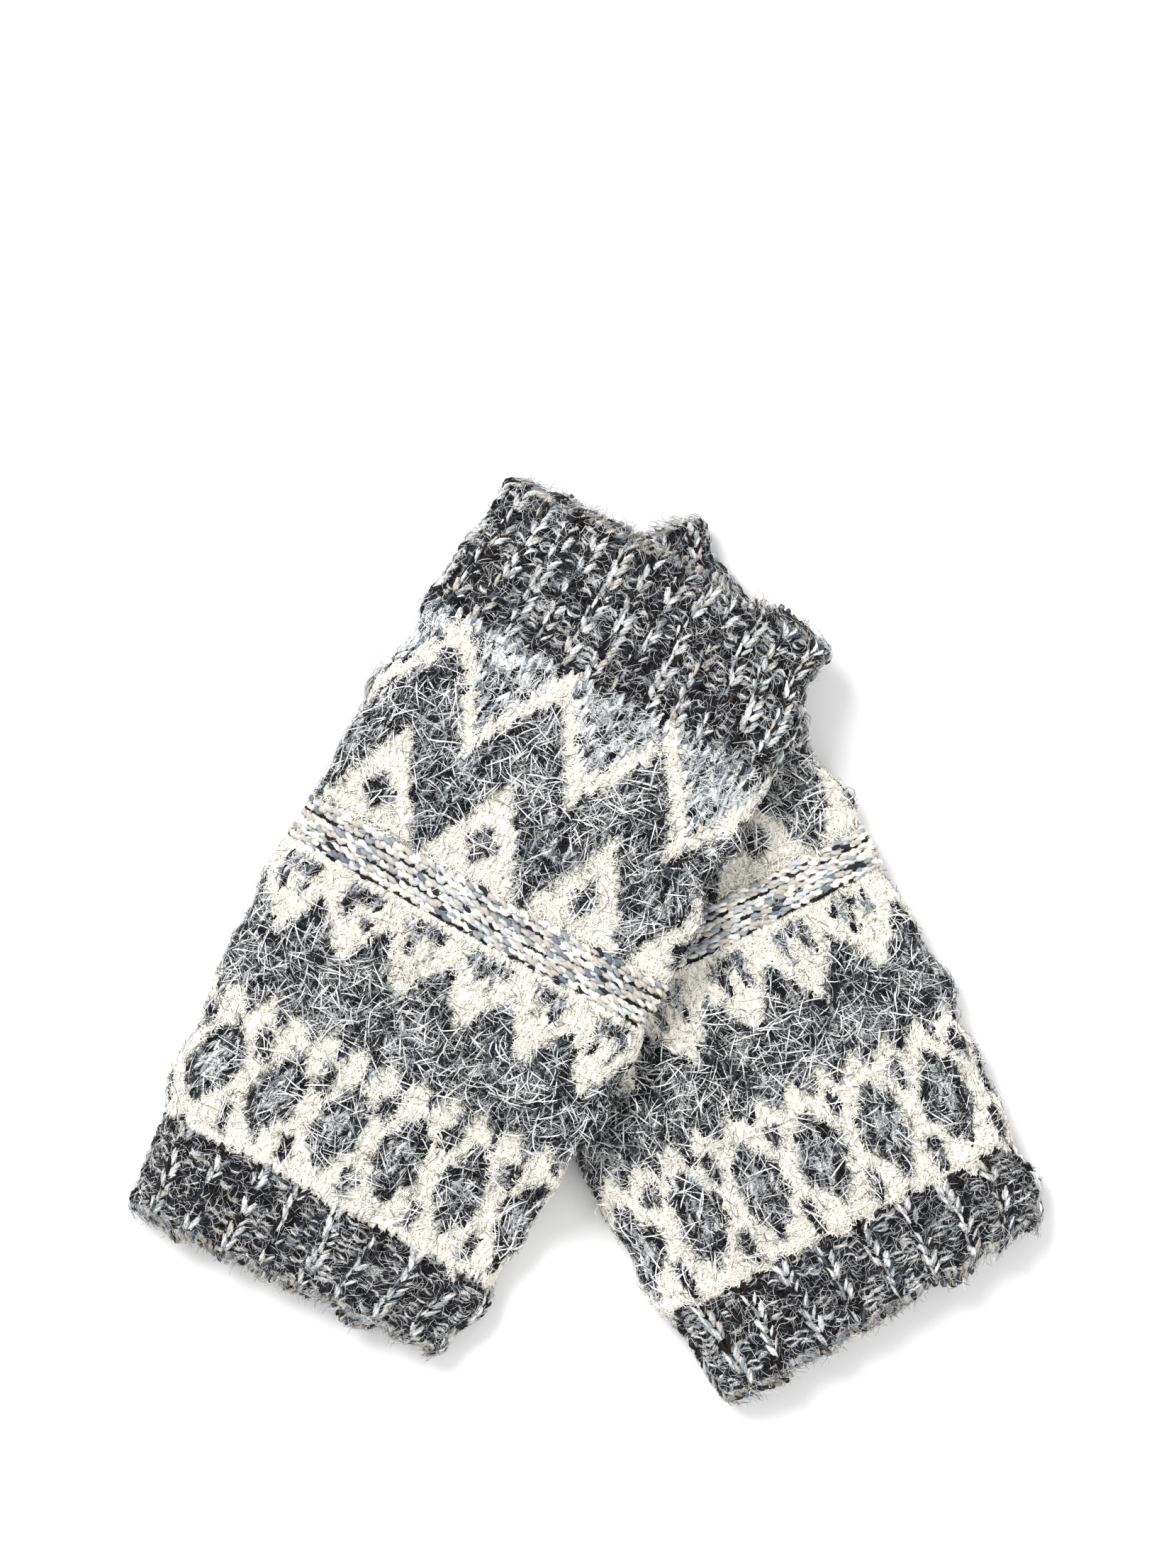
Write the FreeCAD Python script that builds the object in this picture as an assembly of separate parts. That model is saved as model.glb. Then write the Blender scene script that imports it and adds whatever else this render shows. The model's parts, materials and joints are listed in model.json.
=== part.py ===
"""Pair of fingerless knitted gloves (wrist warmers), laid flat, one across the other.

Each glove is a flattened, felted knit tube, open at the finger end and at the wrist hem,
with a thumb slit in one side fold.  The lower glove lies on the table (z = 0); the upper
glove is draped over it and comes down to the table all round.  +Z is up, the origin is
under the middle of the pair, and +Y points to the finger ends.

Along a glove, s runs from the finger edge to the hem, t runs across it (+t to +X).
"""
import FreeCAD, Part
import math
import os

os.makedirs("parts", exist_ok=True)

# ---------------------------------------------------------------- driving dimensions, mm
WALL = 3.2              # felted knit with its fuzz
TUBE_HEIGHT = 13.0      # a glove lying flat, before it is pressed on what it rests on
SINK = 0.5              # how far the flat underside is pressed in
CROWN_POWER = 8         # how flat the crown is: higher is flatter
BODY_GAP = 0.4          # gap between two bodies at a bend line
RIDGE_SWELL = 0.6       # how far a purl ridge stands up
EDGE_SWELL = 0.4        # rolled finger edge and cast-on edge

DRAPE_REST = 15.6       # how high the upper glove is carried by the lower one
DRAPE_FALL = 26.0       # width over which it comes down to the table
DRAPE_START = 0.5       # the fall starts this far inside the lower glove's outline
DRAPE_ROUND = 7.0       # rounding of the lower glove's corners in the drape
CORNER_SHARE = 0.25     # share of that rounding taken off right at a corner

SLIT_TOP = 42.0         # thumb slit: distance from the finger edge
SLIT_BOTTOM = 84.0
SLIT_HALF_HEIGHT = 2.4  # clear half height of the slit
SLIT_EDGE = 0.8         # bound edge round the slit
SLIT_DEPTH = 12.0       # how far in from the fold the slit is cut
SLIT_OVERSHOOT = 8.0    # how far past the fold its cutting prism reaches

STATION_STEP = 5.0      # spacing of the loft sections along a glove
LEAST_STATIONS = 4      # in the shortest plain band
SWELL_STATIONS = 5      # in a band that stands up

TABLE_SPAN = 400.0      # box over the table that trims the undersides flat
TABLE_HEADROOM = 100.0

# Distances from the finger edge at which each band of the pattern starts.
# half_width and bow are read along the glove: (distance, value).
GLOVES = {
    "lower": {
        "finger_centre": (-15.0, 88.3),
        "hem_centre": (78.0, -94.9),
        "half_width": [(0, 46.9), (4, 48.0), (20, 49.0), (60, 50.0), (100, 51.0),
                       (135, 52.0), (152, 51.8), (176, 50.2), (188, 48.4), (205.4, 46.8)],
        "bow": [(0, 0.0), (60, -1.0), (152, -2.3), (176, -1.8), (205.4, -1.0)],
        "hem_skew": -0.065,
        "bands": [("finger_edge", 0.0), ("finger_cuff", 2.4), ("hand_panel", 35.0),
                  ("ridge_1", 91.4), ("ridge_2", 95.0), ("ridge_3", 98.6),
                  ("wave_band", 102.2), ("dot_band", 143.0), ("diamond_band", 153.0),
                  ("rib_hem", 180.0), ("hem_edge", 203.2), ("end", 205.4)],
        "body_splits": ["rib_hem"],
        "draped": False,
    },
    "upper": {
        "finger_centre": (22.2, 97.7),
        "hem_centre": (-77.4, -87.7),
        "half_width": [(0, 45.4), (4, 46.5), (20, 47.9), (60, 50.0), (100, 51.2),
                       (128, 52.0), (150, 51.0), (165, 49.6), (178, 48.6), (188, 47.0),
                       (200, 45.3), (210.5, 44.2)],
        "bow": [(0, 0.0), (60, -1.0), (150, -1.3), (188, 0.0), (210.5, 0.0)],
        "hem_skew": -0.055,
        "bands": [("finger_edge", 0.0), ("finger_cuff", 2.4), ("hand_panel", 38.0),
                  ("ridge_1", 96.6), ("ridge_2", 100.6), ("ridge_3", 104.6),
                  ("wave_band", 108.6), ("dot_band", 149.0), ("diamond_band", 160.0),
                  ("rib_hem", 185.0), ("hem_edge", 208.2), ("end", 210.5)],
        "body_splits": ["hand_panel", "rib_hem"],
        "draped": True,
    },
}

# Points round a flattened section as (fraction of the half width, side): from the middle of
# the underside (side -1) round the +t fold, over the crown (side +1) and back.
FRACTIONS = [0.0, 0.14, 0.28, 0.41, 0.54, 0.66, 0.77, 0.86, 0.93, 0.975]
RING = [(u, -1) for u in FRACTIONS] + [(1.0, 0)]
RING += [(u, 1) for u in reversed(FRACTIONS)]
RING += [(-u, 1) for u in FRACTIONS[1:]] + [(-1.0, 0)]
RING += [(-u, -1) for u in reversed(FRACTIONS)]


def along(table, s):
    """Value of a (distance, value) table at distance s."""
    if s <= table[0][0]:
        return table[0][1]
    for (s0, v0), (s1, v1) in zip(table, table[1:]):
        if s <= s1:
            return v0 + (v1 - v0) * (s - s0) / (s1 - s0)
    return table[-1][1]


def smoothstep(x):
    x = min(max(x, 0.0), 1.0)
    return x * x * (3.0 - 2.0 * x)


def directions(glove):
    """Unit vectors down the glove and across it, and the glove's length."""
    fx, fy = glove["finger_centre"]
    hx, hy = glove["hem_centre"]
    length = math.hypot(hx - fx, hy - fy)
    down = ((hx - fx) / length, (hy - fy) / length)
    across = (-down[1], down[0])
    return down, across, length


def to_plan(glove, s, t):
    """Plan position of the point (s, t) of a glove."""
    down, across, _ = directions(glove)
    fx, fy = glove["finger_centre"]
    return fx + down[0] * s + across[0] * t, fy + down[1] * s + across[1] * t


def from_plan(glove, x, y):
    """(s, t) of a plan position."""
    down, across, _ = directions(glove)
    dx = x - glove["finger_centre"][0]
    dy = y - glove["finger_centre"][1]
    return dx * down[0] + dy * down[1], dx * across[0] + dy * across[1]


def drape(x, y):
    """Height at which the lower glove carries the upper one at a plan position."""
    lower = GLOVES["lower"]
    s, t = from_plan(lower, x, y)
    side = along(lower["half_width"], s) - abs(t - along(lower["bow"], s))
    gap = max(DRAPE_ROUND - abs(s - side), 0.0) / DRAPE_ROUND
    inside = min(s, side) - gap * gap * DRAPE_ROUND * CORNER_SHARE
    return DRAPE_REST * smoothstep((inside - DRAPE_START + DRAPE_FALL) / DRAPE_FALL)


def section(glove, s, inset, swell):
    """Points round a glove's flattened tube at distance s; the last repeats the first."""
    half_width = along(glove["half_width"], s) - inset + swell
    bow = along(glove["bow"], s)
    middle = TUBE_HEIGHT / 2.0 - SINK
    half_height = TUBE_HEIGHT / 2.0 - inset
    hem_start = dict(glove["bands"])["rib_hem"]
    _, _, length = directions(glove)
    skew = glove["hem_skew"] * smoothstep((s - hem_start) / (length - hem_start))

    points = []
    for u, side in RING:
        t = bow + u * half_width
        x, y = to_plan(glove, s + skew * t, t)
        rise = half_height * math.sqrt(1.0 - abs(u) ** CROWN_POWER)
        if side > 0:
            rise += swell
        z = middle + side * rise
        if glove["draped"]:
            z += drape(x, y)
        points.append(FreeCAD.Vector(x, y, z))

    return points


def skin(sections):
    """Smooth face through a row of sections, with its two end outlines as wires."""
    surface = Part.BSplineSurface()
    surface.interpolate(sections)
    face = surface.toShape()
    ends = []
    for parameter in (surface.bounds()[0], surface.bounds()[1]):
        ends.append(Part.Wire([surface.uIso(parameter).toShape()]))
    return face, ends


def band_solid(glove, start, stop, swell):
    """Hollow length of tube from start to stop; swell is how far its middle stands up."""
    count = max(LEAST_STATIONS, int(round((stop - start) / STATION_STEP)) + 1)
    if swell:
        count = SWELL_STATIONS
    outer = []
    inner = []
    for i in range(count):
        f = i / (count - 1)
        s = start + (stop - start) * f
        outer.append(section(glove, s, 0.0, swell * math.sin(math.pi * f)))
        inner.append(section(glove, s, WALL, 0.0))
    outside, outer_ends = skin(outer)
    inside, inner_ends = skin(inner)
    faces = [outside, inside]
    for outer_wire, inner_wire in zip(outer_ends, inner_ends):
        faces.append(Part.makeFace([outer_wire, inner_wire], "Part::FaceMakerBullseye"))
    shell = Part.Shell(faces)
    shell.sewShape()
    tube = Part.Solid(shell)
    if tube.Volume < 0:
        tube.reverse()
    corner = FreeCAD.Vector(-TABLE_SPAN / 2.0, -TABLE_SPAN / 2.0, 0)
    above_table = Part.makeBox(TABLE_SPAN, TABLE_SPAN, TABLE_HEADROOM, corner)
    return tube.common(above_table)


def slit_prism(glove, half_height, grow):
    """Rounded slot through the side fold, where the thumb comes out."""
    down, across, _ = directions(glove)
    s_mid = (SLIT_TOP + SLIT_BOTTOM) / 2.0
    half_length = (SLIT_BOTTOM - SLIT_TOP) / 2.0 + grow
    straight = half_length - half_height
    fold = along(glove["half_width"], s_mid) + along(glove["bow"], s_mid)
    middle = TUBE_HEIGHT / 2.0 - SINK
    if glove["draped"]:
        middle += DRAPE_REST
    x, y = to_plan(glove, s_mid, fold - SLIT_DEPTH)
    centre = FreeCAD.Vector(x, y, middle)
    run = FreeCAD.Vector(down[0], down[1], 0)
    out = FreeCAD.Vector(across[0], across[1], 0)
    up = FreeCAD.Vector(0, 0, 1)

    top_left = centre - run * straight + up * half_height
    top_right = centre + run * straight + up * half_height
    low_right = centre + run * straight - up * half_height
    low_left = centre - run * straight - up * half_height
    right_tip = centre + run * half_length
    left_tip = centre - run * half_length
    edges = [
        Part.makeLine(top_left, top_right),
        Part.Arc(top_right, right_tip, low_right).toShape(),
        Part.makeLine(low_right, low_left),
        Part.Arc(low_left, left_tip, top_left).toShape(),
    ]
    return Part.Face(Part.Wire(edges)).extrude(out * (SLIT_DEPTH + SLIT_OVERSHOOT))


def write(node, shape):
    """Write one node; it has to be a single closed solid."""
    solids = shape.Solids
    if len(solids) != 1 or not solids[0].isValid():
        raise RuntimeError(f"{node}: {len(solids)} solids")
    solids[0].exportStep(f"parts/{node}.step")
    box = solids[0].BoundBox
    print(f"{node:22s} x {box.XMin:7.1f} {box.XMax:7.1f}  y {box.YMin:7.1f} {box.YMax:7.1f}"
          f"  z {box.ZMin:5.1f} {box.ZMax:5.1f}")


def build_glove(side):
    glove = GLOVES[side]
    bands = glove["bands"]
    for (name, start), (following, stop) in zip(bands, bands[1:]):
        if name in glove["body_splits"]:
            start += BODY_GAP / 2.0
        if following in glove["body_splits"]:
            stop -= BODY_GAP / 2.0
        swell = 0.0
        if name.startswith("ridge"):
            swell = RIDGE_SWELL
        elif name.endswith("edge"):
            swell = EDGE_SWELL
        solid = band_solid(glove, start, stop, swell)
        if name == "hand_panel":
            slot = slit_prism(glove, SLIT_HALF_HEIGHT + SLIT_EDGE, SLIT_EDGE)
            clear = slit_prism(glove, SLIT_HALF_HEIGHT, 0.0)
            write(f"{side}_thumb_edge", solid.common(slot.cut(clear)))
            solid = solid.cut(slot)
        write(f"{side}_{name}", solid)


for glove_side in GLOVES:
    build_glove(glove_side)
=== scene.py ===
import json
import math

import bpy
import numpy as np
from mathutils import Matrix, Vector


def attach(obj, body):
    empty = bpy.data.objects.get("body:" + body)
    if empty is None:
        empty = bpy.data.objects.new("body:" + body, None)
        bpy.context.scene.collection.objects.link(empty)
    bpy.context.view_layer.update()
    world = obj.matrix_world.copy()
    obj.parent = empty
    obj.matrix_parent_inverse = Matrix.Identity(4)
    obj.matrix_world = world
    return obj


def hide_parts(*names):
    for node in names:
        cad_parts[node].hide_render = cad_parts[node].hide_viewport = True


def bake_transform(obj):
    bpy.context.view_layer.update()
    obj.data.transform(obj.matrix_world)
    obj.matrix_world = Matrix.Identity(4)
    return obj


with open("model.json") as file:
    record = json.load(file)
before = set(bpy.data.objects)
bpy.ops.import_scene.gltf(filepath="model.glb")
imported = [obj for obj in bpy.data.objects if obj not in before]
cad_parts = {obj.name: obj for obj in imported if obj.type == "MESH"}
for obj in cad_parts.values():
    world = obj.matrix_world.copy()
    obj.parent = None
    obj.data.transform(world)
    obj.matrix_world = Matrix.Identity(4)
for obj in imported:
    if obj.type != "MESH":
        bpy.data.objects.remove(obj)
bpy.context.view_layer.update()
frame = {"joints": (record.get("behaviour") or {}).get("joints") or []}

MM = 0.001
rng = np.random.default_rng(20)

# ------------------------------------------------------------------ driving dimensions, mm
WALL = 3.2             # thickness of the felted knit
TUBE_HEIGHT = 13.0     # a glove lying flat
SINK = 0.5             # how far its flat underside is pressed in
CROWN_POWER = 8        # how flat the crown is
ROUND = 200.0          # nominal way round a glove
HALF_ROUND = ROUND / 2
FOLD = ROUND / 4       # from the middle of the crown to a side fold, and the nominal half width
COLUMNS = 72           # stitches round a glove in the patterned part
COLUMN = ROUND / COLUMNS
ROW = 3.2              # height of a knitted row
RIB_KNIT = 4.8         # width of a raised column in the ribs
CORNER = 4.0           # rounding of the four corners of a glove
FLOOR_GAP = 0.2        # nothing comes nearer to the table than this
EDGE_WAVE = 1.1        # how uneven the side folds and the two ends are

DRAPE_REST = 15.6      # how high the lower glove carries the upper one
DRAPE_FALL = 26.0      # over what distance the upper one comes down to the table
DRAPE_START = 0.5      # how far inside the lower glove's outline that fall begins
DRAPE_ROUND = 7.0      # rounding of the fall at the lower glove's corners
CORNER_SHARE = 0.25    # how much of that rounding comes off a corner

SLIT_TOP = 42.0        # thumb slit in the +t fold
SLIT_BOTTOM = 84.0
SLIT_MIDDLE = (SLIT_TOP + SLIT_BOTTOM) / 2
SLIT_REACH = (SLIT_BOTTOM - SLIT_TOP) / 2
SLIT_HALF = 2.6        # half its width

BEND_BEFORE = 3.0      # a bend's stretch starts this far before a joint's line
BEND_AFTER = 21.0      # and ends this far after it

RIM_INSET = 0.3        # from the end of a glove to its bound edge
FELT_INSET = 1.2       # and to the felted ground
FELT_DEPTH = -1.9      # how deep the felted ground lies under the outer surface
HAIRLINE = 0.01        # keeps a piece that ends at a bend out of it
RIB_LIGHT = 0.50       # share of light plies in the ribs

YARN_RADIUS = 0.84     # thickness of the yarn in V stitches,
PURL_RADIUS = 0.66     # in the sunk purl of the ribs,
RIDGE_RADIUS = 0.95    # in the ridges,
DASH_RADIUS = 0.46     # in the dark line beside each ridge,
RIM_RADIUS = 0.95      # in the bound edges and the cord inside them,
SLIT_RADIUS = 0.8      # and in the thumb slit's edge

# Along a glove, s runs from the finger edge to the hem.  A pattern is drawn once, in the
# upper glove's s, and "bands" says where each of its bands starts on this glove.
BANDS = ["finger_edge", "finger_cuff", "hand_panel", "ridge_1", "ridge_2", "ridge_3",
         "wave_band", "dot_band", "diamond_band", "rib_hem", "hem_edge", "end"]
PATTERN_AT = [0.0, 2.4, 38.0, 96.6, 100.6, 104.6, 108.6, 149.0, 160.0, 185.0, 208.2, 210.5]

GLOVES = {
    "lower": {
        "cuff_joint": "lower_cuff_bend",
        "cuff_joint_at": 180.0,
        "half_width": [(0, 46.9), (4, 48.0), (20, 49.0), (60, 50.0), (100, 51.0),
                       (135, 52.0), (152, 51.8), (176, 50.2), (188, 48.4), (205.4, 46.8)],
        "bow": [(0, 0.0), (60, -1.0), (152, -2.3), (176, -1.8), (205.4, -1.0)],
        "hem_skew": -0.065,
        "bands": [0.0, 2.4, 35.0, 91.4, 95.0, 98.6, 102.2, 143.0, 153.0, 180.0, 203.2, 205.4],
        "draped": False,
        "zigzag_peak": -7.2,      # where the motifs sit across the glove
        "small_motif": 2.4,
        "diamond": 2.1,
        "hand_rib": 4.6,
        "hem_rib": 4.7,
    },
    "upper": {
        "cuff_joint": "upper_cuff_bend",
        "cuff_joint_at": 185.0,
        "half_width": [(0, 45.4), (4, 46.5), (20, 47.9), (60, 50.0), (100, 51.2),
                       (128, 52.0), (150, 51.0), (165, 49.6), (178, 48.6), (188, 47.0),
                       (200, 45.3), (210.5, 44.2)],
        "bow": [(0, 0.0), (60, -1.0), (150, -1.3), (188, 0.0), (210.5, 0.0)],
        "hem_skew": -0.055,
        "bands": PATTERN_AT,
        "draped": True,
        "zigzag_peak": -8.0,
        "small_motif": -9.4,
        "diamond": -6.4,
        "hand_rib": 4.6,
        "hem_rib": 4.0,
    },
}
FINGER_BEND = GLOVES["upper"]["bands"][BANDS.index("hand_panel")]
HAND_RIBS = 26         # rib columns round the finger cuff
HEM_RIBS = 18          # and round the hem
EDGE_LOOPS = 88        # loops round a bound edge
SLIT_LOOPS = 64        # and round the thumb slit
RIM_POINTS = 181       # points along the cord inside a bound edge
SLIT_POINTS = 121      # and inside the thumb slit's edge

# The pattern, in the upper glove's s and across it from the glove's axis.
HAND_START, RIDGES_START, RIDGES_END, HEM_START = (PATTERN_AT[i] for i in (2, 3, 6, 9))
ZIGZAG_REPEAT = 28.0
ZIGZAG_TOP = 41.5      # peak of the cream zigzag
ZIGZAG_DROP = 24.0     # from its peaks to its valleys
ZIGZAG_HALF = 3.8      # half its width
CHEVRON_END = 97.0
GREY_CHEVRON_END = 83.0
TRIANGLE_TOP = 68.5    # cream triangles below the chevrons
TRIANGLE_DROP = 27.5
TRIANGLE_DOT = 87.2    # the dark dot in each
MOTIF_REPEAT = 16.8    # small motifs, waves and diamonds
MOTIF_TOP = 110.4
MOTIF_END = 120.8
WAVE_TOP = 117.5
WAVE_RISE = 15.0
WAVE_BOTTOM = 145.2
WAVE_FRINGE = 9.0
UPPER_DOTS = 157.6     # small dots above and below the diamonds
DIAMOND_ROW = 167.5
LOWER_DOTS = 178.8

# ------------------------------------------------------------------ yarn and hair colours
TONES = {
    "ink": (0.010, 0.010, 0.012),
    "umber": (0.024, 0.018, 0.016),
    "charcoal": (0.028, 0.030, 0.036),
    "slate": (0.075, 0.085, 0.103),
    "steel": (0.180, 0.205, 0.240),
    "ash": (0.330, 0.350, 0.370),
    "oat": (0.350, 0.320, 0.285),
    "beige": (0.540, 0.505, 0.455),
    "silver": (0.610, 0.622, 0.628),
    "cream_deep": (0.800, 0.765, 0.670),
    "cream": (0.875, 0.848, 0.765),
    "ivory": (0.910, 0.895, 0.840),
    "white": (0.900, 0.903, 0.895),
}
LIGHT_FROM = "oat"     # tones from here on are light enough to bloom with sheen
TONE = {name: i for i, name in enumerate(TONES)}

KINDS = range(6)
RIB, LIGHT_MARL, CREAM, CHARCOAL, GREY, RIDGE = KINDS

# For each kind of area: how its yarn and its loose hairs are mixed, tone: share.
YARN_MIX = {
    LIGHT_MARL: {"silver": 4, "ash": 2.5, "white": 5, "steel": 1.5, "charcoal": 2, "ink": 2.5},
    CREAM: {"cream": 6, "ivory": 4, "cream_deep": 1},
    CHARCOAL: {"ink": 6, "charcoal": 4, "slate": 1.5, "silver": 1.5, "white": 0.7},
    GREY: {"ink": 2, "umber": 3, "slate": 1, "steel": 1, "ash": 2, "silver": 3, "white": 2},
    RIDGE: {"silver": 3, "beige": 4, "ivory": 4, "ash": 2, "cream_deep": 3, "steel": 0.7,
            "charcoal": 0.5},
}
HAIR_MIX = {
    RIB: {"ink": 6, "charcoal": 4, "slate": 1, "ash": 1, "silver": 3, "white": 2},
    LIGHT_MARL: {"white": 9, "silver": 5, "ash": 1, "slate": 1, "ink": 3.5},
    CREAM: {"ivory": 8, "cream": 12, "cream_deep": 1, "slate": 0.25, "ink": 0.45},
    CHARCOAL: {"ink": 15, "charcoal": 6, "slate": 1, "steel": 1, "ash": 1, "silver": 1.9,
               "white": 2.4},
    GREY: {"ink": 5, "slate": 1, "steel": 1, "ash": 2, "silver": 4, "white": 5},
    RIDGE: {"ivory": 4, "silver": 3, "ash": 1, "slate": 0.6},
}
# Matted ground for each kind of area, in tones darker than its yarn: partly the ground's own
# colour, partly painted shade where it shows between the stitches.
FELT_SHADE_MIX = {
    RIB: {"ink": 2, "umber": 3, "charcoal": 2, "slate": 1},
    LIGHT_MARL: {"ash": 3, "steel": 2, "silver": 2},
    CREAM: {"cream": 3, "cream_deep": 3},
    CHARCOAL: {"ink": 2, "charcoal": 3, "slate": 1},
    GREY: {"slate": 2, "steel": 2, "umber": 1},
    RIDGE: {"cream_deep": 2, "beige": 2, "silver": 1},
}
RIM_MIX = {"beige": 4, "oat": 4, "ash": 3, "silver": 1, "slate": 2, "umber": 2}
MARL_DARK = {"ink": 5, "umber": 5, "charcoal": 3, "slate": 1}
MARL_LIGHT = {"silver": 4, "beige": 2, "white": 5, "ash": 1.5}
RIDGE_GREY = {"ash": 3, "silver": 3, "steel": 1, "charcoal": 1}
RIDGE_DASH = {"ink": 4, "umber": 5}
KEMP_MIX = {"white": 5, "silver": 2, "ash": 1}
KEMP_SHARE = 0.085     # how many of the hairs over charcoal are long and stiff
HAIR_POINTS = 4        # points along each hair
# Loose hairs on each kind of area: hairs per square mm, length, width, and how far they lift.
HAIR = {
    RIB: (1.9, (2.0, 5.0), (0.07, 0.12), 1.0),
    LIGHT_MARL: (1.8, (2.0, 5.0), (0.10, 0.20), 1.1),
    CREAM: (4.6, (1.4, 3.2), (0.18, 0.34), 0.30),
    CHARCOAL: (3.9, (2.2, 5.6), (0.09, 0.20), 1.4),
    GREY: (2.6, (2.0, 5.0), (0.09, 0.20), 1.1),
    RIDGE: (0.6, (2.0, 4.0), (0.09, 0.16), 0.8),
}


def pick(mix, count):
    """Tone indices drawn from a mix."""
    names = list(mix)
    share = np.array([mix[n] for n in names], float)
    return rng.choice([TONE[n] for n in names], size=count, p=share / share.sum())


def yarn_material(name, colour, hair):
    """Soft wool: rough, with sheen, and on yarn a fine fibre relief."""
    material = bpy.data.materials.new(f"wool_{name}" + ("_hair" if hair else ""))
    material.use_nodes = True
    nodes = material.node_tree.nodes
    links = material.node_tree.links
    shader = nodes["Principled BSDF"]
    shader.inputs["Base Color"].default_value = (*colour, 1.0)
    shader.inputs["Roughness"].default_value = 0.6 if hair else 0.9
    shader.inputs["Specular IOR Level"].default_value = 0.22 if hair else 0.08
    shader.inputs["Sheen Weight"].default_value = 0.25 if TONE[name] >= TONE[LIGHT_FROM] else 0.0
    shader.inputs["Sheen Roughness"].default_value = 0.6
    place = nodes.new("ShaderNodeNewGeometry")
    noise = nodes.new("ShaderNodeTexNoise")
    noise.inputs["Scale"].default_value = 2600.0
    noise.inputs["Detail"].default_value = 3.0
    bump = nodes.new("ShaderNodeBump")
    bump.inputs["Strength"].default_value = 0.15 if hair else 0.6
    bump.inputs["Distance"].default_value = 0.0002
    links.new(place.outputs["Position"], noise.inputs["Vector"])
    links.new(noise.outputs["Fac"], bump.inputs["Height"])
    links.new(bump.outputs["Normal"], shader.inputs["Normal"])
    return material


YARN_MATERIALS = [yarn_material(n, c, False) for n, c in TONES.items()]
HAIR_MATERIALS = [yarn_material(n, c, True) for n, c in TONES.items()]


# ------------------------------------------------------------------ shape of a glove
def along(table, s):
    places, values = zip(*table)
    return np.interp(s, places, values)


def smoothstep(x):
    x = np.clip(x, 0.0, 1.0)
    return x * x * (3.0 - 2.0 * x)


def waves(x, y, size, seed):
    """Smooth random field of about -1 to 1 with features of the given size."""
    source = np.random.default_rng(seed)
    total = np.zeros(np.broadcast(x, y).shape)
    for _ in range(7):
        angle, phase = source.uniform(0, 2 * math.pi, 2)
        step = 2 * math.pi / (size * source.uniform(1.4, 3.2))
        total += np.sin(step * (x * math.cos(angle) + y * math.sin(angle)) + phase)
    return total / 2.6


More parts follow.
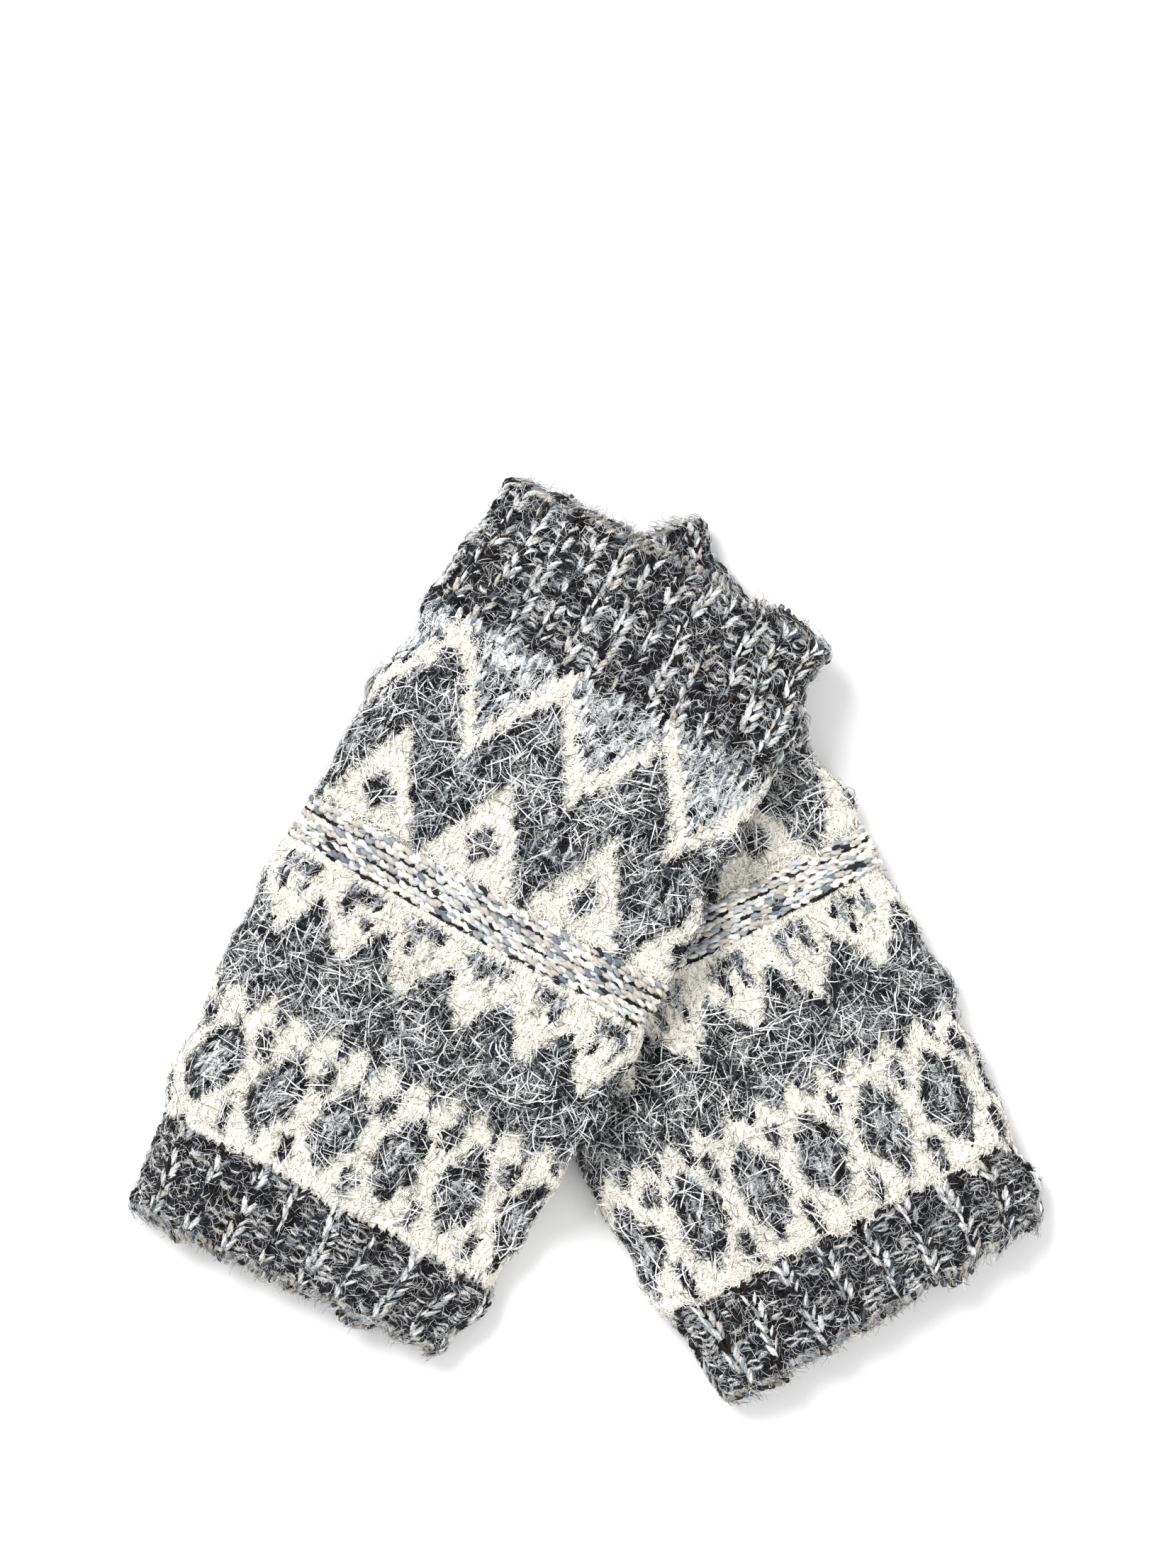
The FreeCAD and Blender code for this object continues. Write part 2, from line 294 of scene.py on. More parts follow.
class Glove:
    """One glove's surface.  Flat places (s, a, h) wrap on to it: s along it, a round it
    from the middle of the crown (-100 to 100), h out from the outer surface, all in mm."""

    RING = 360

    def __init__(self, side, facts):
        self.side = side
        self.facts = facts
        self.length = facts["bands"][-1]
        joint = next(j for j in frame["joints"] if j["name"] == facts["cuff_joint"])
        self.across = -np.array(joint["axis"][:2])
        self.down = np.array([self.across[1], -self.across[0]])
        hinge = np.array(joint["pos_m"][:2]) / MM
        self.start = hinge - self.down * facts["cuff_joint_at"]

    def to_plan(self, s, t):
        return (self.start[0] + self.down[0] * s + self.across[0] * t,
                self.start[1] + self.down[1] * s + self.across[1] * t)

    def from_plan(self, x, y):
        dx = x - self.start[0]
        dy = y - self.start[1]
        return dx * self.down[0] + dy * self.down[1], dx * self.across[0] + dy * self.across[1]

    def outline(self, s, v):
        """(t, z) on the flattened section at s; v is -1 to 1 round it from the crown."""
        angle = np.linspace(0.0, math.pi / 2, 400)
        u = np.cos(angle) ** (2.0 / CROWN_POWER)
        half_height = TUBE_HEIGHT / 2
        half_width = along(self.facts["half_width"], s)
        t_fine = np.concatenate([u[::-1], u]) * half_width
        z_fine = np.concatenate([np.sin(angle)[::-1], -np.sin(angle)]) * half_height
        run = np.concatenate([[0], np.cumsum(np.hypot(np.diff(t_fine), np.diff(z_fine)))])
        run /= run[-1]
        t = np.interp(np.abs(v), run, t_fine) * np.sign(v)
        z = np.interp(np.abs(v), run, z_fine)
        return t, z + half_height - SINK

    def make_surface(self, drape):
        self.s_grid = np.arange(0.0, self.length + 1.0, 1.0)
        v = np.linspace(-1.0, 1.0, self.RING, endpoint=False)
        hem_start = self.facts["bands"][BANDS.index("rib_hem")]
        points = np.zeros((len(self.s_grid), self.RING, 3))
        for i, s in enumerate(self.s_grid):
            t, z = self.outline(s, v)
            from_end = min(s, max(self.length - s, 0.0), CORNER)
            rounding = CORNER - math.sqrt(CORNER ** 2 - (CORNER - from_end) ** 2)
            t = t * (1.0 - rounding / FOLD)
            uneven = EDGE_WAVE * waves(np.full(v.shape, s), np.sign(v) * 90.0, 8.0, 4)
            t = t * (1.0 + uneven / FOLD) + along(self.facts["bow"], s)
            skew = self.facts["hem_skew"] * smoothstep((s - hem_start) / (self.length - hem_start))
            x, y = self.to_plan(s + skew * t, t)
            if self.facts["draped"]:
                z = z + drape(x, y)
            points[i] = np.stack([x, y, np.maximum(z, 0.0)], axis=1)
        # a little unevenness, as in any hand-flattened knit
        lift = 0.35 * waves(self.s_grid[:, None], v[None, :] * HALF_ROUND, 9.0, 3)
        top = smoothstep((0.62 - np.abs(v)) / 0.2)[None, :]
        points[:, :, 2] += lift * top
        ring_step = np.roll(points, -1, axis=1) - np.roll(points, 1, axis=1)
        down_step = np.gradient(points, axis=0)
        normal = np.cross(down_step, ring_step)
        normal /= np.linalg.norm(normal, axis=2, keepdims=True)
        self.points = points
        self.normals = normal

    def wrap(self, flat):
        """Frame coordinates in metres of flat places; flat has (s, a, h) last."""
        s, a, h = flat[..., 0], flat[..., 1], flat[..., 2]
        near_end = np.exp(-np.minimum(s.clip(0), (self.length - s).clip(0)) / 6.0)
        s = s + EDGE_WAVE * near_end * waves(a * 0.0, a, 7.0, 9)
        inside = np.clip(s, 0.0, self.length)
        i = np.clip(inside.astype(int), 0, len(self.s_grid) - 2)
        fi = (inside - i)[..., None]
        j = (a / HALF_ROUND + 1.0) / 2.0 * self.RING
        j0 = np.floor(j).astype(int)
        fj = (j - j0)[..., None]
        j1 = (j0 + 1) % self.RING
        j0 = j0 % self.RING

        def blend_of(grid):
            near = grid[i, j0] * (1 - fj) + grid[i, j1] * fj
            far = grid[i + 1, j0] * (1 - fj) + grid[i + 1, j1] * fj
            return near * (1 - fi) + far * fi

        place = blend_of(self.points) + blend_of(self.normals) * h[..., None]
        over = s - inside
        place[..., 0] += self.down[0] * over
        place[..., 1] += self.down[1] * over
        place[..., 2] = np.maximum(place[..., 2], FLOOR_GAP)
        return place * MM

    def pattern_s(self, s):
        return np.interp(s, self.facts["bands"], PATTERN_AT)

    def across_mm(self, s, a):
        """Distance across the glove from its axis, for placing motifs."""
        return a * (along(self.facts["half_width"], s) / FOLD) + along(self.facts["bow"], s)

    def in_slit(self, s, a, margin=0.0):
        """Whether flat places are in the thumb slit, or within a margin of it."""
        reach = SLIT_REACH + margin
        width = SLIT_HALF + margin
        return (((s - SLIT_MIDDLE) / reach) ** 4 + ((a - FOLD) / width) ** 2) < 1.0


def lower_side(lower):
    """The lower glove's carrying height under a plan position."""
    def drape(x, y):
        s, t = lower.from_plan(x, y)
        side = along(lower.facts["half_width"], s) - np.abs(t - along(lower.facts["bow"], s))
        gap = np.maximum(DRAPE_ROUND - np.abs(s - side), 0.0) / DRAPE_ROUND
        inside = np.minimum(s, side) - gap * gap * DRAPE_ROUND * CORNER_SHARE
        return DRAPE_REST * smoothstep((inside - DRAPE_START + DRAPE_FALL) / DRAPE_FALL)
    return drape


# ------------------------------------------------------------------ the knitted pattern
def triangle(x, period):
    """0 where x is a multiple of the period, 1 half way between."""
    return np.abs((x + period / 2) % period - period / 2) / (period / 2)


def area_kind(glove, s, a, blur):
    """Which kind of area each flat place is in; blur makes its outlines ragged."""
    facts = glove.facts
    q = glove.pattern_s(s) + blur * (waves(s, a, 2.6, 5) + rng.normal(0, 0.7, s.shape))
    t = glove.across_mm(s, a) + blur * 0.7 * (waves(s, a, 2.6, 6) + rng.normal(0, 0.6, s.shape))
    kind = np.full(s.shape, CREAM)

    # zigzag over charcoal chevrons, with cream triangles below
    from_peak = triangle(t - facts["zigzag_peak"], ZIGZAG_REPEAT)
    peak_mm = from_peak * ZIGZAG_REPEAT / 2
    line = ZIGZAG_TOP + ZIGZAG_DROP * from_peak
    kind[q < line - ZIGZAG_HALF] = LIGHT_MARL
    chevron = (q > line + ZIGZAG_HALF) & (q < CHEVRON_END)
    triangle_top = TRIANGLE_TOP + TRIANGLE_DROP * np.minimum(from_peak * 1.08, 1.06)
    kind[chevron & (q < triangle_top)] = CHARCOAL
    valley = ZIGZAG_REPEAT / 2 - peak_mm
    greyer = chevron & (valley < 5.2) & (q < GREY_CHEVRON_END)
    kind[greyer & (rng.uniform(0, 1, s.shape) < 0.75)] = GREY
    cloud = chevron & (waves(s, a, 6.5, 15) > 0.8) & (rng.uniform(0, 1, s.shape) < 0.4)
    kind[cloud & (kind == CHARCOAL)] = GREY
    kind[(peak_mm / 4.3 + np.abs(q - TRIANGLE_DOT) / 5.2) < 1.0] = CHARCOAL

    # small motifs, then the wave
    small = triangle(t - facts["small_motif"], MOTIF_REPEAT) * MOTIF_REPEAT / 2
    lobe = np.abs(small - 2.5)
    motif = (q > MOTIF_TOP) & (q < MOTIF_END)
    kind[motif & (small < 4.8) & (q < MOTIF_TOP + 4.6)] = GREY
    kind[motif & (lobe < 2.3 - (q - MOTIF_TOP) * 0.16)] = GREY
    wave_top = WAVE_TOP + WAVE_RISE * (1.0 - small / (MOTIF_REPEAT / 2))
    fringe = triangle(t - facts["small_motif"], MOTIF_REPEAT / 2) ** 1.4
    wave_bottom = WAVE_BOTTOM + WAVE_FRINGE * fringe
    wave = (q > wave_top) & (q < wave_bottom)
    kind[wave] = CHARCOAL
    kind[wave & (q < wave_top + 6.0) & (rng.uniform(0, 1, s.shape) < 0.30)] = GREY

    # dots and diamonds
    diamond = triangle(t - facts["diamond"], MOTIF_REPEAT) * MOTIF_REPEAT / 2
    from_row = np.abs(q - DIAMOND_ROW)
    kind[((diamond / 8.0 + from_row / 13.0) < 1.0) & (diamond < 5.8)] = CHARCOAL
    kind[(diamond / 4.6 + from_row / 8.0) < 1.0] = GREY
    between = MOTIF_REPEAT / 2 - diamond
    kind[(between < 1.7) & (np.abs(q - UPPER_DOTS) < 3.6)] = CHARCOAL
    kind[(between < 1.5) & (np.abs(q - LOWER_DOTS) < 4.0)] = CHARCOAL

    pure = glove.pattern_s(s)
    kind[(pure >= RIDGES_START) & (pure < RIDGES_END)] = RIDGE
    ragged = 1.4 * waves(s * 0, a, 2.2, 8)
    kind[(pure < HAND_START + ragged) | (pure > HEM_START + ragged)] = RIB
    return kind


# ------------------------------------------------------------------ mesh making
def add_piece(name, places, faces, tones, materials):
    """A mesh object from frame places, faces and a tone for each face."""
    mesh = bpy.data.meshes.new(name)
    count, corners = faces.shape
    mesh.vertices.add(len(places))
    mesh.vertices.foreach_set("co", places.astype(np.float32).ravel())
    mesh.loops.add(count * corners)
    mesh.loops.foreach_set("vertex_index", faces.astype(np.int32).ravel())
    mesh.polygons.add(count)
    mesh.polygons.foreach_set("loop_start", np.arange(0, count * corners, corners, dtype=np.int32))
    used = np.unique(tones)
    for tone in used:
        mesh.materials.append(materials[tone])
    mesh.polygons.foreach_set("material_index", np.searchsorted(used, tones).astype(np.int32))
    mesh.polygons.foreach_set("use_smooth", np.ones(count, bool))
    mesh.update(calc_edges=True)
    piece = bpy.data.objects.new(name, mesh)
    bpy.context.scene.collection.objects.link(piece)
    return piece


def strand_faces(count, rings, sides):
    """Quads of many open tubes, each of the given rings and sides."""
    ring = np.arange(rings - 1)[:, None] * sides
    side = np.arange(sides)[None, :]
    following = (side + 1) % sides
    one = np.stack([ring + side, ring + following,
                    ring + sides + following, ring + sides + side], axis=-1).reshape(-1, 4)
    step = rings * sides
    return (one[None] + (np.arange(count) * step)[:, None, None]).reshape(-1, 4)


def tubes(path, radius, sides=6, rise=1.0):
    """Flat-space tubes round paths (n, rings, 3) with radii (n, rings)."""
    tangent = np.gradient(path[..., :2], axis=1)
    tangent /= np.linalg.norm(tangent, axis=-1, keepdims=True) + 1e-9
    beside = np.stack([-tangent[..., 1], tangent[..., 0]], axis=-1)
    angle = np.arange(sides) * 2 * math.pi / sides
    r = radius[..., None]
    out = np.zeros((*path.shape[:2], sides, 3))
    out[..., 0] = path[..., 0][..., None] + r * np.cos(angle) * beside[..., 0][..., None]
    out[..., 1] = path[..., 1][..., None] + r * np.cos(angle) * beside[..., 1][..., None]
    out[..., 2] = path[..., 2][..., None] + r * np.sin(angle) * rise
    return out


def plies(path, radius, turns, phase, count):
    """Strands twisted round each path, their middles a little inside its radius."""
    tangent = np.gradient(path[..., :2], axis=1)
    tangent /= np.linalg.norm(tangent, axis=-1, keepdims=True) + 1e-9
    share = np.linspace(0, 1, path.shape[1])[None, :]
    made = []
    for i in range(count):
        angle = phase[:, None] + share * turns * 2 * math.pi + i * 2 * math.pi / count
        offset = radius * 0.5
        strand = path.copy()
        strand[..., 0] += -tangent[..., 1] * np.cos(angle) * offset
        strand[..., 1] += tangent[..., 0] * np.cos(angle) * offset
        strand[..., 2] += np.sin(angle) * offset
        made.append(strand)
    return made


class Yarn:
    """Collects strands of yarn in flat space, then makes them one piece."""

    def __init__(self):
        self.places = []
        self.faces = []
        self.tones = []
        self.total = 0

    def add(self, path, radius, tones, sides=6, rise=1.0):
        """tones: one for each strand, or one for each strand and stretch."""
        if not len(path):
            return
        made = tubes(path, radius, sides, rise)
        count, rings = path.shape[:2]
        self.places.append(made.reshape(-1, 3))
        self.faces.append(strand_faces(count, rings, sides) + self.total)
        if tones.ndim == 1:
            tones = np.repeat(tones[:, None], rings - 1, axis=1)
        self.tones.append(np.repeat(tones.reshape(-1), sides))
        self.total += count * rings * sides

    def make(self, glove, name, slot_name):
        flat = np.concatenate(self.places)
        return add_piece(name, glove.wrap(flat), np.concatenate(self.faces),
                         np.concatenate(self.tones), YARN_MATERIALS)


STITCH = np.linspace(0.0, 1.0, 5)


def tapered(radius, share, end, power, shape):
    """Radii along strands of the given shape; end (0 to 0.5) is how full the two ends are."""
    taper = np.sin(math.pi * (end + (1.0 - 2 * end) * share)) ** power
    return np.broadcast_to(radius * taper, shape).copy()


def stitch_legs(s, a, width, depth, overlap=1.45):
    """Both legs of V stitches centred at (s, a), the point of the V towards the hem."""
    legs = []
    for hand in (-1, 1):
        sideways = (0.50 - 0.38 * STITCH - 0.05 * np.sin(math.pi * STITCH)) * hand
        path = np.zeros((len(s), len(STITCH), 3))
        path[..., 0] = s[:, None] + ROW * overlap * (STITCH - 0.52)[None]
        path[..., 1] = a[:, None] + width * sideways[None]
        bulge = np.sin(math.pi * (0.12 + 0.8 * STITCH))[None]
        path[..., 2] = depth + YARN_RADIUS * 0.75 * (bulge - 0.6)
        legs.append(path)
    return legs, tapered(YARN_RADIUS, STITCH, 0.08, 0.45, (len(s), len(STITCH)))


def jitter(path, amount):
    """Each strand a little out of place, as hand-worked yarn is."""
    return path + rng.normal(0, amount, (len(path), 1, 3))


# ------------------------------------------------------------------ the knitted bands
def marl_tone(s, a, light_share):
    """A tone for one ply of each marled strand; light and dark come in soft patches."""
    count = len(s)
    if light_share is None:
        return pick(RIM_MIX, count)
    dark = pick(MARL_DARK, count)
    light = pick(MARL_LIGHT, count)
    shade = light_share + 0.34 * waves(s, a * 0.4, 4.0, 14)
    return np.where(rng.uniform(0, 1, count) < shade, light, dark)


def twisted(yarn, path, radius, s, a, light_share, turns=0.6, count=3):
    """Adds marled plied strands; with no light share they are in the rims' mixed tones."""
    phase = rng.uniform(0, 2 * math.pi, len(path))
    share = None if light_share is None else light_share + rng.normal(0, 0.20, len(path))
    for strand in plies(path, radius.max(), turns, phase, count):
        yarn.add(strand, radius * 0.56, marl_tone(s, a, share), sides=4)


def rib_columns(count, offset):
    """Where the raised columns of a rib run, as flat a."""
    step = ROUND / count
    columns = offset + step * np.arange(count)
    return (columns + HALF_ROUND) % ROUND - HALF_ROUND, step


def rib_band(glove, start, stop, count, offset, light_share):
    """Ribbing in marled yarn: raised V columns with sunk purl between; the columns get more light
    plies and the sunk purl fewer, painted light on the raised columns and painted shade in the
    sunk purl.
    """
    yarn = Yarn()
    columns, step = rib_columns(count, offset)
    rows = np.arange(start + ROW * 0.5, stop - ROW * 0.2, ROW)
    s, a = [x.ravel() for x in np.meshgrid(rows, columns, indexing="ij")]
    s = s + 0.35 * waves(s, a, 6.0, 21)
    a = a + 0.5 * waves(s, a, 12.0, 22)
    keep = ~glove.in_slit(s, a, 1.0)
    s, a = s[keep], a[keep]
    legs, radius = stitch_legs(s, a, RIB_KNIT - 1.2, -0.6, overlap=1.2)
    # extra light plies on the raised columns: painted light
    for leg in legs:
        twisted(yarn, jitter(leg, 0.14), radius, s, a, light_share + 0.10)

    gap = step - RIB_KNIT
    purls = max(1, round(gap / COLUMN))
    purl = gap / purls
    offsets = (np.arange(purls) - (purls - 1) / 2) * purl + step / 2
    places = (columns[:, None] + offsets[None, :]).ravel()
    s, a = [x.ravel() for x in np.meshgrid(rows, places, indexing="ij")]
    a = (a + HALF_ROUND) % ROUND - HALF_ROUND
    for shift in (0.0, ROW / 2):
        path = np.zeros((len(s), len(STITCH), 3))
        hump = rng.choice([-1, 1], (len(s), 1)) * rng.uniform(0.3, 1.0, (len(s), 1))
        path[..., 0] = s[:, None] + shift + hump * (np.sin(math.pi * STITCH)[None] - 0.4)
        path[..., 1] = a[:, None] + (purl / 2 + 0.25) * (2 * STITCH - 1)[None]
        path[..., 2] = -1.85 + 0.45 * np.sin(math.pi * STITCH)[None]
        radius = tapered(PURL_RADIUS, STITCH, 0.1, 0.4, path.shape[:2])
        path = jitter(path, 0.22)
        # fewer light plies in the sunk purl: painted shade in the recess
        twisted(yarn, path, radius, s + 3.0 * a, a, light_share - 0.06, count=2)
    return yarn


def jersey_band(glove, start, stop):
    """Plain V stitches, coloured by the pattern."""
    yarn = Yarn()
    rows = np.arange(start + ROW * 0.4, stop - ROW * 0.25, ROW)
    columns = COLUMN * (np.arange(COLUMNS) + 0.5) - HALF_ROUND
    s, a = [x.ravel() for x in np.meshgrid(rows, columns, indexing="ij")]
    s = s + 0.3 * waves(s, a, 5.0, 31)
    keep = ~glove.in_slit(s, a, 0.8)
    s, a = s[keep], a[keep]
    kind = area_kind(glove, s, a, 0.35)
    legs, radius = stitch_legs(s, a, COLUMN, -0.95)
    plain = kind == CREAM
    for leg in legs:
        leg = jitter(leg, 0.10)
        yarn.add(leg[plain], radius[plain], pick(YARN_MIX[CREAM], plain.sum()), sides=5)
        mixed = ~plain
        phase = rng.uniform(0, 2 * math.pi, mixed.sum())
        for strand in plies(leg[mixed], radius.max(), 0.5, phase, 2):
            tone = np.zeros(len(strand), int)
            for each in np.unique(kind[mixed]):
                of_kind = kind[mixed] == each
                tone[of_kind] = pick(YARN_MIX.get(each, YARN_MIX[GREY]), of_kind.sum())
            yarn.add(strand, radius[mixed] * 0.68, tone, sides=4)
    return yarn


def ring_places(count):
    """Evenly spaced places round a glove, as flat a."""
    return -HALF_ROUND + ROUND / count * (np.arange(count) + 0.5)


def ridge_band(start, stop):
    """One purl ridge: interlocked light loops with a broken dark line beside them."""
    yarn = Yarn()
    count = COLUMNS
    columns = ring_places(count)
    middle = (start + stop) / 2
    reach = (stop - start) / 4
    for hand in (-1, 1):
        shifted = columns + (ROUND / count / 2 if hand > 0 else 0.0)
        s = middle - 0.3 + hand * reach * 0.75 + 0.2 * waves(shifted, columns * 0, 4.0, 41)
        path = np.zeros((count, len(STITCH), 3))
        path[..., 0] = s[:, None] + 0.55 * hand * (np.sin(math.pi * STITCH)[None] - 0.5)
        path[..., 1] = shifted[:, None] + 1.65 * (2 * STITCH - 1)[None]
        path[..., 2] = -0.55 + 0.65 * np.sin(math.pi * STITCH)[None]
        radius = tapered(RIDGE_RADIUS, STITCH, 0.14, 0.5, path.shape[:2])
        path = jitter(path, 0.10)
        phase = rng.uniform(0, 2 * math.pi, count)
        grey = waves(shifted, shifted * 0 + middle, 4.0, 44) > 0.85
        for strand in plies(path, radius.max(), 0.6, phase, 2):
            tone = pick(YARN_MIX[RIDGE], count)
            tone[grey] = pick(RIDGE_GREY, grey.sum())
            yarn.add(strand, radius * 0.68, tone, sides=5)
    # the broken dark line
    count = 2 * COLUMNS
    columns = ring_places(count)
    dark = waves(columns, columns * 0 + middle * 3, 4.5, 45) + rng.normal(0, 0.2, count) > -0.15
    path = np.zeros((count, len(STITCH), 3))
    tilt = rng.choice([-1, 1], (count, 1))
    path[..., 0] = stop - 0.5 + 0.3 * tilt * (np.sin(math.pi * STITCH)[None] - 0.5)
    path[..., 0] += 0.35 * waves(columns, columns * 0 + middle, 3.0, 46)[:, None]
    path[..., 1] = columns[:, None] + 1.0 * (2 * STITCH - 1)[None]
    path[..., 2] = -0.15 + 0.25 * np.sin(math.pi * STITCH)[None]
    radius = tapered(DASH_RADIUS, STITCH, 0.14, 0.5, path.shape[:2])
    tone = np.where(dark, pick(RIDGE_DASH, count), pick(YARN_MIX[RIDGE], count))
    yarn.add(jitter(path, 0.08), radius, tone, sides=5)
    return yarn


def edge_band(at, towards):
    """The bound edge: a marled chain over the end of the fabric's thickness."""
    yarn = Yarn()
    count = EDGE_LOOPS
    columns = ring_places(count)
    wavy = 0.45 * waves(columns, columns * 0, 9.0, 51)
    share = np.linspace(0, 1, 8)
    # loops that go over the edge from the outside to the inside
    path = np.zeros((count, len(share), 3))
    reach = 1.35 * np.sin(math.pi * share) ** 0.7
    path[..., 0] = (at + wavy)[:, None] - towards * (reach - 1.9)[None]
    path[..., 1] = columns[:, None] + 0.9 * (share - 0.5)[None]
    path[..., 2] = -0.75 - (WALL - 1.2) * share[None]
    radius = tapered(RIM_RADIUS, share, 0.15, 0.4, path.shape[:2])
    twisted(yarn, jitter(path, 0.12), radius, at + wavy, columns, None)
    # filler cord inside the loops
    ring = np.linspace(-HALF_ROUND, HALF_ROUND, RIM_POINTS)[None, :]
    for depth in (-1.5, -2.3):
        path = np.zeros((1, RIM_POINTS, 3))
        path[..., 0] = at + towards * 1.9
        path[..., 1] = ring
        path[..., 2] = depth
        tone = pick(RIM_MIX, (1, RIM_POINTS - 1))
        yarn.add(path, np.full((1, RIM_POINTS), RIM_RADIUS), tone, sides=8)
    return yarn


def slit_edge():
    """A chain round the thumb slit."""
    yarn = Yarn()
    count = SLIT_LOOPS
    share = np.linspace(0, 1, 7)
    turn = np.arange(count) / count * 2 * math.pi

    def rim(angle, grow):
        c, s = np.cos(angle), np.sin(angle)
        return (SLIT_MIDDLE + (SLIT_REACH + grow) * np.sign(c) * np.abs(c) ** 0.5,
                FOLD + (SLIT_HALF + grow) * np.sign(s) * np.abs(s) ** 0.9)

    path = np.zeros((count, len(share), 3))
    for i, f in enumerate(share):
        grow = 1.1 - 1.3 * math.sin(math.pi * f) ** 0.8
        s, a = rim(turn + 0.05 * f, grow)
        path[:, i, 0] = s
        path[:, i, 1] = a
        path[:, i, 2] = -0.5 - (WALL - 0.9) * f
    radius = tapered(SLIT_RADIUS, share, 0.15, 0.4, path.shape[:2])
    twisted(yarn, path, radius, path[:, 0, 0], path[:, 0, 1], None)
    ring = np.linspace(0, 2 * math.pi, SLIT_POINTS)
    s, a = rim(ring, 0.9)
    for depth in (-1.0, -2.3):
        cord = np.stack([s, a, np.full(SLIT_POINTS, depth)], axis=-1)[None]
        tone = pick(RIM_MIX, (1, SLIT_POINTS - 1))
        yarn.add(cord, np.full((1, SLIT_POINTS), RIM_RADIUS), tone, sides=6)
    return yarn


def felt(glove, name, start, stop, depth, step, inside):
    """The matted ground under the stitches, or the reverse of the fabric; its tones are darker
    than the yarn over it, painted shade in the gaps between stitches.
    """
    rows = np.linspace(start, stop, max(2, int((stop - start) / step) + 1))
    ring = np.linspace(-HALF_ROUND, HALF_ROUND, int(ROUND / step) + 1)
    s, a = np.meshgrid(rows, ring, indexing="ij")
    h = np.full(s.shape, depth) + 0.22 * waves(s, a, 1.6, 61)
    if not inside:
        h[area_kind(glove, s, a, 0.0) == CREAM] += 0.75
    flat = np.stack([s, a, h], axis=-1)
    rows_n, ring_n = s.shape
    first = (np.arange(rows_n - 1)[:, None] * ring_n + np.arange(ring_n - 1)[None, :]).ravel()
    faces = np.stack([first, first + 1, first + ring_n + 1, first + ring_n], axis=-1)
    if inside:
        faces = faces[:, ::-1]
    centre_s = (s[:-1, :-1] + s[1:, 1:]).ravel() / 2
    centre_a = (a[:-1, :-1] + a[1:, 1:]).ravel() / 2
    keep = ~glove.in_slit(centre_s, centre_a, 0.3)
    faces, centre_s, centre_a = faces[keep], centre_s[keep], centre_a[keep]
    kind = area_kind(glove, centre_s, centre_a, 0.5)
    tone = np.zeros(len(faces), int)
    # the ground's darker tones are painted shade between the stitches
    for each in np.unique(kind):
        of_kind = kind == each
        tone[of_kind] = pick(FELT_SHADE_MIX[each], of_kind.sum())
    return add_piece(name, glove.wrap(flat).reshape(-1, 3), faces, tone,
                     YARN_MATERIALS)


# ------------------------------------------------------------------ loose hairs
def hair_roots(glove, start, stop):
    """Where hairs grow between two places along the glove, and on which kind of area."""
    most = max(h[0] for h in HAIR.values())
    count = int(most * (stop - start) * ROUND)
    s = rng.uniform(start, stop, count)
    a = rng.uniform(-HALF_ROUND, HALF_ROUND, count)
    kind = area_kind(glove, s, a, 0.9)
    density = np.array([HAIR[k][0] for k in KINDS]) / most
    # fewer on the underside, which is pressed on what it lies on
    under = np.where(np.abs(a) > 56.0, 0.45, 1.0)
    keep = (rng.uniform(0, 1, count) < density[kind] * under) & ~glove.in_slit(s, a, 0.2)
    return s[keep], a[keep], kind[keep]


def hair_looks(s, a, kind):
    """Length, width, lift and tone of each hair, and which are stiff kemp hairs."""
    count = len(s)
    length = np.zeros(count)
    width = np.zeros(count)
    lift = np.zeros(count)
    tone = np.zeros(count, int)
    for each in np.unique(kind):
        of_kind = kind == each
        n = of_kind.sum()
        _, lengths, widths, rise = HAIR[each]
        length[of_kind] = rng.uniform(*lengths, n)
        width[of_kind] = rng.uniform(*widths, n)
        lift[of_kind] = rise * rng.gamma(2.0, 0.5, n)
        tone[of_kind] = pick(HAIR_MIX[each], n)

    greyer = (kind == CHARCOAL) & (waves(s, a, 7.0, 71) > 0.55) & (rng.uniform(0, 1, count) < 0.7)
    tone[greyer] = pick(HAIR_MIX[GREY], greyer.sum())
    # long stiff kemp hairs over the charcoal areas
    kemp = (kind == CHARCOAL) & (rng.uniform(0, 1, count) < KEMP_SHARE)
    length[kemp] = rng.uniform(4.5, 8.5, kemp.sum())
    width[kemp] = rng.uniform(0.26, 0.42, kemp.sum())
    tone[kemp] = pick(KEMP_MIX, kemp.sum())
    lift[kemp] += 0.8
    # fine dark hairs strayed over the cream
    stray = (kind == CREAM) & (tone <= TONE["steel"])
    width[stray] = rng.uniform(0.09, 0.15, stray.sum())
    length[stray] = rng.uniform(4.0, 8.0, stray.sum())
    lift[stray] += 0.5
    return length, width, lift, tone, kemp


def soften_borders(glove, s, a, kind, kemp, heading, length, tone):
    """Shortens hairs that reach into another kind of area, and darkens some light ones."""
    for end in (-0.5, 0.6):
        reach_s = s + end * length * np.cos(heading)
        reach_a = a + end * length * np.sin(heading)
        crosses = (area_kind(glove, reach_s, reach_a, 0.0) != kind) & ~kemp
        length[crosses] *= 0.75
        light = crosses & (kind != CREAM) & (tone >= TONE["steel"])
        light &= rng.uniform(0, 1, len(s)) < 0.5
        tone[light] = TONE["ink"]


